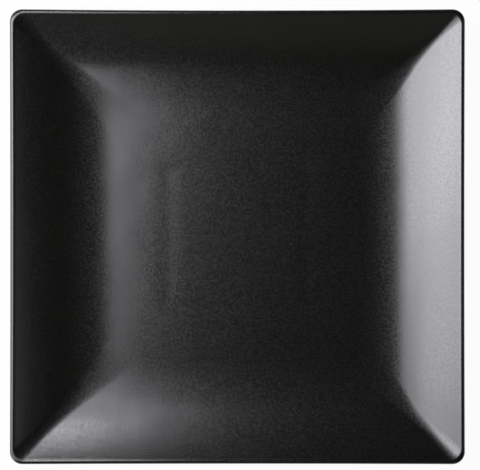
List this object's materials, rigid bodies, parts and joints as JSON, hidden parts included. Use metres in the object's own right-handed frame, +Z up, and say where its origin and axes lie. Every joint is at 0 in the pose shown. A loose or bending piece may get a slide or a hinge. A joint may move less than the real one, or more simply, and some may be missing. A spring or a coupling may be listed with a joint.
{
  "type": "square dinner plate",
  "caption": "Square stoneware dinner plate with a flat well, sloping coved sides, a thin rounded lip and foot rings underneath, in semi-matt black glaze.",
  "frame": {"origin": "on the table under the middle of the plate", "axes": "+Z up out of the well; +X and +Y square to the plate's sides"},
  "size_m": [0.27, 0.27, 0.0255],
  "materials": {
    "stoneware": "matte",
    "glaze": "satin"
  },
  "bodies": {
    "root": {"stoneware_body": "stoneware", "face_glaze": "glaze", "recess_glaze": "glaze", "centre_glaze": "glaze"}
  },
  "joints": []
}
